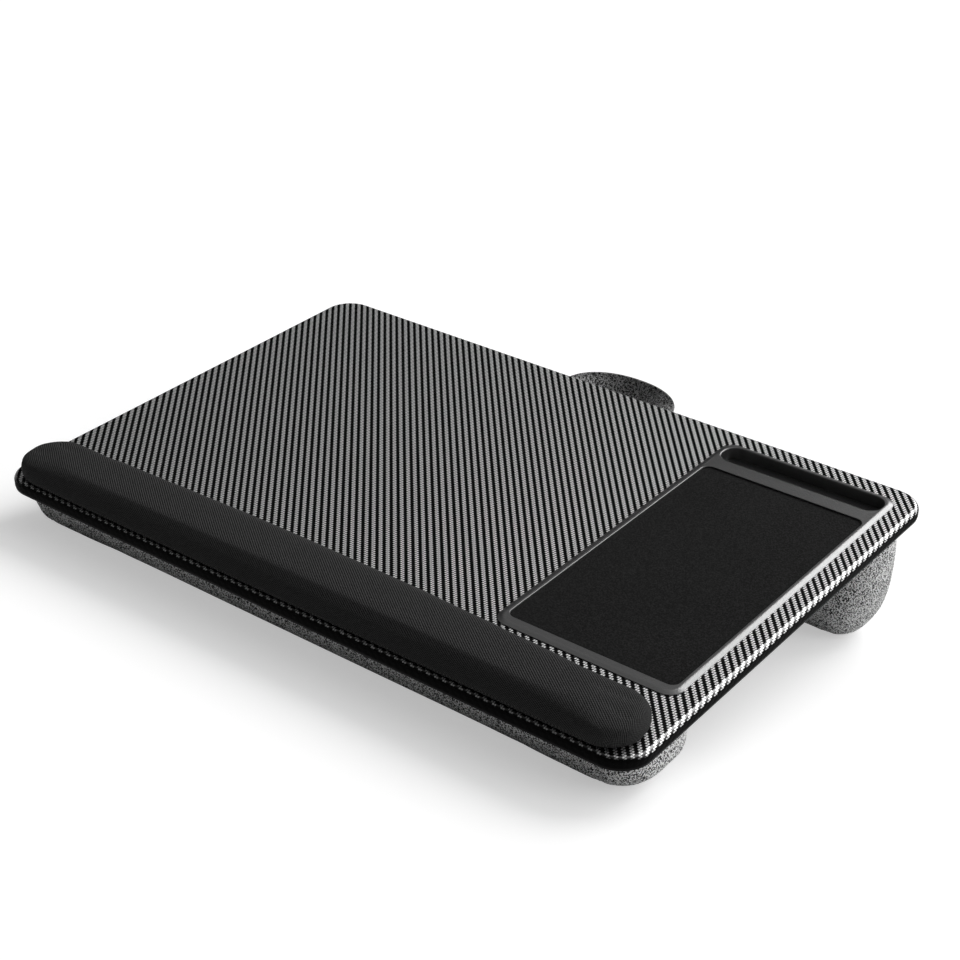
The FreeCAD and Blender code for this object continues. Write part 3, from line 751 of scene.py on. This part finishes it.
# Bolster: rings of the soft profile hung from the seam, with puckers under the seam and end seams
def makeBolster(name, sizes):
    low, high = deckBox(sizes["cover"])
    shrink = bolsterForm["shrink"]
    bow, hang = bolsterForm["bow"], sizes["hang"] - shrink
    near, far = low[1] + bow + shrink, high[1] - bow - shrink
    spread = (far - near) / 2
    belly = bolsterForm["belly"] * hang
    inset, depths = softProfile(bolsterForm["drawIn"], belly, hang, spread, sizes["fullness"])[:2]
    width = 2 * (spread - inset)
    least, most = bolsterForm["cornerShares"]
    corner = np.minimum(np.maximum(sizes["corner"] - inset, least * width), most * width)
    bows = bow * (1 - inset / spread)
    endDraw = sizes["endDraw"] * np.clip(1 - depths / (bolsterForm["endDrawDepth"] * hang), 0, 1) ** 2
    half = high[0] - shrink - inset - sizes["endTrim"] - endDraw
    rings = softRings(half, near + inset, far - inset, corner, bows, bows, high[2] - depths)[::-1]
    piece = newPiece(name, toRoom(rings), capped(rings), "knit")
    seam = high[2]
    held = seam - bolsterForm["pinned"]
    swell(piece, lambda points: toDeck(points)[:, 2] > held, bolsterForm["voxel"], bolsterForm["cap"])
    points, normals = toDeck(getPoints(piece)), getNormals(piece) @ deckTurn
    # puckers below the seam: a wave along the seam that fades with the depth
    depth = seam - points[:, 2]
    along = points[:, 0] + points[:, 1]
    pucker = np.sin(along * 2 * math.pi / bolsterForm["puckerPitch"]) + 0.6 * np.sin(along * 211 + 1.3)
    pucker *= bolsterForm["pucker"] * np.exp(-(depth / bolsterForm["puckerDepth"]) ** 2)
    points += normals * pucker[:, None]
    # the end panels' seams press in a groove where the corners begin
    endSeam = high[0] - sizes["corner"]
    press = np.exp(-((np.abs(points[:, 0]) - endSeam) / bolsterForm["grooveWidth"]) ** 2)
    points -= normals * (bolsterForm["groove"] * press)[:, None]
    points[:, 2] = np.minimum(points[:, 2], seam - bolsterForm["lift"])
    room = toRoom(points)
    room[:, 2] = np.maximum(room[:, 2], bolsterForm["floorGap"])
    setPoints(piece, room)
    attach(piece, "tray")
    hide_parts(sizes["cover"], sizes["fill"])
    # the seams' stitches follow the section's outline, laid onto the finished cloth
    sectionY = np.append(near + inset, (far - inset)[::-1])
    sectionZ = seam - np.append(depths, depths[::-1])
    run = np.append(0, np.cumsum(np.hypot(np.diff(sectionY), np.diff(sectionZ))))
    even = np.linspace(run[2], run[-3], bolsterForm["seamSteps"])
    sectionY, sectionZ = np.interp(even, run, sectionY), np.interp(even, run, sectionZ)
    bpy.context.view_layer.update()
    rows = []
    for end in (-1, 1):
        section = np.stack([end * endSeam + 0 * sectionY, sectionY, sectionZ], -1)
        found = [piece.closest_point_on_mesh(place.tolist()) for place in toRoom(section)]
        line = toDeck(np.array([list(hit[1]) for hit in found]))
        outward = np.array([list(hit[2]) for hit in found]) @ deckTurn
        rows.append(stitchPoints(line, outward, seamStitch))
    stitches = toRoom(np.concatenate(rows))
    lowest = stitches[..., 2].min((1, 2), keepdims=True)
    stitches[..., 2] += np.maximum(0, bolsterForm["floorGap"] - lowest)
    sewn = newPiece(name + "Seams", stitches, stitchFaces(stitches), "seamThread")
    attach(sewn, "tray")
    print("%s: %d points, %d stitches" % (name, len(points), len(stitches)))


strapForm = {
    "across": 0.042,       # half the distance between the roots
    "run": 0.004,
    "reach": 0.031,
    "droop": 0.008,
    "roll": math.radians(50),
    "width": 0.026,
    "thickness": 0.0036,
    "hem": 0.0030,
    "slack": 0.0001,       # the section stays this far inside the cover's box
    "startGap": 0.0004,
    "pillow": (0.55, 0.45),    # powers that fill out the section across and through
    "dip": (0.22, 0.05),       # depth and width of the hem lines, as shares
    "edgeDip": 0.10,
    "blend": 0.003,        # length of a span centred on the hinge, along the strap
    "straightSteps": 40,
    "bendSteps": 121,
    "around": 56,
}
hemStitch = {"pitch": 0.0042, "length": 0.0031, "radius": 0.00036}


# Carry strap: centre line from one fixed end, round half an ellipse that sinks by droop * sine, to the
# other; its section is a flat pillow, pressed in along the hem stitching, rolled up on edge by roll * sine
def makeStrap():
    tabLow, tabHigh = deckBox("strap_tab_right")
    level = (tabLow[2] + tabHigh[2]) / 2
    hinge = toDeck(np.array(frame["joints"][0]["pos_m"], float))
    root = hinge[1] + strapForm["run"]
    start = tabLow[1] + strapForm["startGap"]
    bend = np.linspace(0, math.pi, strapForm["bendSteps"])
    straight = np.linspace(0, 1, strapForm["straightSteps"], endpoint=False)
    straightY = start + (root - start) * straight
    bends = np.concatenate([0 * straight, bend, math.pi + 0 * straight])
    bendSine, bendCosine = np.sin(bends), np.cos(bends)
    y = root + strapForm["reach"] * bendSine
    y[:len(straight)], y[-len(straight):] = straightY, straightY[::-1]
    centre = np.stack([strapForm["across"] * bendCosine, y, level - strapForm["droop"] * bendSine], -1)
    outward = np.stack([bendCosine / strapForm["across"], bendSine / strapForm["reach"], 0 * bends], -1)
    outward /= np.linalg.norm(outward, axis=1, keepdims=True)
    roll = strapForm["roll"] * bendSine
    up = np.array([0, 0, 1])
    wide = outward * np.cos(roll)[:, None] + up * np.sin(roll)[:, None]
    thick = up * np.cos(roll)[:, None] - outward * np.sin(roll)[:, None]
    turn = -np.linspace(0, 2 * math.pi, strapForm["around"], endpoint=False)
    flat = np.sign(np.cos(turn)) * np.abs(np.cos(turn)) ** strapForm["pillow"][0]
    side = np.sign(np.sin(turn)) * np.abs(np.sin(turn)) ** strapForm["pillow"][1]
    stitchLine = 1 - 2 * strapForm["hem"] / strapForm["width"]
    depth, width = strapForm["dip"]
    dip = 1 - depth * np.exp(-((np.abs(flat) - stitchLine) / width) ** 2)
    dip -= strapForm["edgeDip"] * (np.abs(flat) > stitchLine)
    across = flat * (strapForm["width"] / 2 - strapForm["slack"])
    through = side * dip * (strapForm["thickness"] / 2 - strapForm["slack"])
    section = wide[:, None] * across[None, :, None] + thick[:, None] * through[None, :, None]
    points = centre[:, None] + section
    piece = newPiece("carryStrap", toRoom(points), capped(points), "strapKnit")
    half = strapForm["blend"] / 2
    middle = toRoom(np.array([[0, hinge[1] - half, hinge[2]], [0, hinge[1] + half, hinge[2]]]))
    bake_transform(piece)
    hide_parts("strap_cover", "strap_core", "strap_tab_left", "strap_tab_right")
    # two hem rows on each face, in the pressed-in lines
    rows = []
    for edge in (-1, 1):
        for face in (-1, 1):
            nearest = np.argmin(np.abs(flat - edge * stitchLine) + 9 * (np.sign(side) != face))
            rows.append(stitchPoints(points[:, nearest], thick * face, hemStitch))
    stitches = np.concatenate(rows)
    hems = newPiece("strapHems", toRoom(stitches), stitchFaces(stitches), "hemThread")
    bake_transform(hems)
    print("carry strap: %d points, %d stitches" % (points[..., 0].size, len(stitches)))


backing = {"corner": 0.017, "quilt": 0.00015, "quiltTurns": 140, "lift": 0.00005, "grid": (91, 131)}


# Backing cloth: a sheet whose half width is the cloth's less corner - sqrt(corner^2 - overrun^2) near its
# ends, quilted by sine across * sine along
def makeBackingCloth():
    low, high = deckBox("cushion_cloth")
    size, middle = high - low, (low + high) / 2
    rows, columns = backing["grid"]
    v = np.linspace(-1, 1, rows)[:, None]
    u = np.linspace(-1, 1, columns)[None]
    y = v * size[1] / 2
    corner, turns = backing["corner"], backing["quiltTurns"]
    overrun = np.clip(np.abs(y) - (size[1] / 2 - corner), 0, corner)
    halfWidth = size[0] / 2 - corner + np.sqrt(corner ** 2 - overrun ** 2)
    x = u * halfWidth
    z = middle[2] + backing["quilt"] * np.sin(x * turns) * np.sin(y * turns)
    points = np.stack([x + middle[0], y + middle[1] + 0 * x, z], -1)
    faces = gridFaces(rows, columns, False)
    piece = newPiece("cushionCloth", toRoom(points), faces, "backing")
    wall = piece.modifiers.new("wall", "SOLIDIFY")
    wall.thickness = size[2] - 2 * backing["quilt"] - 2 * backing["lift"]
    wall.offset = 0
    settle(piece)
    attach(piece, "tray")
    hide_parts("cushion_cloth")
    print("backing cloth: %.3f by %.3f m" % (size[0], size[1]))


makeWristRest()
for name, sizes in bolsters.items():
    makeBolster(name, sizes)
makeStrap()
makeBackingCloth()


floorLook = {"side": 40.0, "pale": 0.66, "bounce": 0.62, "glow": 0.46}


# Floor: pale, white to the camera and to reflections, a darker bounce to the rest
def makeFloor():
    side = floorLook["side"]
    points = np.array([[-side, -side, 0], [side, -side, 0], [side, side, 0], [-side, side, 0]])
    mesh = bpy.data.meshes.new("floor")
    mesh.from_pydata(points.tolist(), [], [[0, 1, 2, 3]])
    floor = bpy.data.objects.new("floor", mesh)
    scene.collection.objects.link(floor)
    paint = Finish("floorPaint", {"Roughness": 0.9, "Specular IOR Level": 0.0})
    seen = [paint.node("LightPath", {}, {}, ray)
            for ray in ("Is Camera Ray", "Is Glossy Ray", "Is Transmission Ray")]
    shown = paint.math("MINIMUM", seen[0] + seen[1] + seen[2], 1.0)
    paint.shade({
        "Base Color": paint.mix(shown, grey(floorLook["bounce"]), grey(floorLook["pale"])),
        "Emission Color": paint.mix(shown, grey(0.0), grey(floorLook["glow"])),
        "Emission Strength": 1.0,
    })
    mesh.materials.append(paint.material)


lamps = {                      # headings in degrees to the right of +Y
    "rearKey": {"heading": 12, "elevation": 42, "power": 2.3, "angle": 40},
    "sideFill": {"heading": 62, "elevation": 25, "power": 1.4, "angle": 50},
}


# Lamps: broad and far, each shining from its heading and elevation towards the middle
def makeLamps():
    for name, beam in lamps.items():
        light = bpy.data.lights.new(name, "SUN")
        light.energy = beam["power"]
        light.angle = math.radians(beam["angle"])
        lamp = bpy.data.objects.new(name, light)
        lamp.rotation_euler = (math.radians(beam["elevation"] - 90), 0, -math.radians(beam["heading"]))
        scene.collection.objects.link(lamp)


roomLight = {"ceiling": (0.55, 1.0), "rear": (-0.7, 0.5), "low": 0.03, "high": 0.75, "front": 0.4}


# Room light: a pale ceiling over a dark horizon, weaker towards the front:
# low + (high - low) * smooth step of the height * (front + (1 - front) * smooth step towards the rear)
def makeRoomLight():
    world = bpy.data.worlds.new("roomLight")
    world.use_nodes = True
    scene.world = world
    tree = world.node_tree

    def ramp(axis, span, low, high):
        step = tree.nodes.new("ShaderNodeMapRange")
        step.interpolation_type = "SMOOTHSTEP"
        for name, level in zip(("From Min", "From Max", "To Min", "To Max"), (*span, low, high)):
            step.inputs[name].default_value = level
        tree.links.new(axes.outputs[axis], step.inputs["Value"])
        return step.outputs["Result"]

    direction = tree.nodes.new("ShaderNodeTexCoord")
    axes = tree.nodes.new("ShaderNodeSeparateXYZ")
    tree.links.new(direction.outputs["Generated"], axes.inputs[0])
    both = tree.nodes.new("ShaderNodeMath")
    both.operation = "MULTIPLY"
    tree.links.new(ramp("Z", roomLight["ceiling"], roomLight["low"], roomLight["high"]), both.inputs[0])
    tree.links.new(ramp("Y", roomLight["rear"], roomLight["front"], 1.0), both.inputs[1])
    tree.links.new(both.outputs[0], tree.nodes["Background"].inputs["Color"])


cameraView = {
    "azimuth": math.radians(37.734),
    "elevation": math.radians(30.514),
    "distance": 1.52194,
    "target": (0.005974, 0.017299, 0.0),   # in the deck's frame
    "lens": 72.432,
}


# Camera: stands at target + distance * back, where back = (sin a cos e, -cos a cos e, sin e), in the
# deck's frame
def makeCamera():
    azimuth, elevation = cameraView["azimuth"], cameraView["elevation"]
    level = math.cos(elevation)
    back = np.array([math.sin(azimuth) * level, -math.cos(azimuth) * level, math.sin(elevation)])
    right = np.array([math.cos(azimuth), math.sin(azimuth), 0])
    up = np.cross(back, right)
    place = toRoom(np.array(cameraView["target"]) + cameraView["distance"] * back)
    matrix = np.eye(4)
    matrix[:3, :3] = deckTurn @ np.stack([right, up, back], -1)
    matrix[:3, 3] = place
    data = bpy.data.cameras.new("photoCamera")
    data.lens = cameraView["lens"]
    data.sensor_width = 36.0
    camera = bpy.data.objects.new("photoCamera", data)
    scene.collection.objects.link(camera)
    camera.matrix_world = matrix.T.tolist()
    scene.camera = camera


makeFloor()
makeLamps()
makeRoomLight()
makeCamera()
print("floor, lamps and camera are in place")
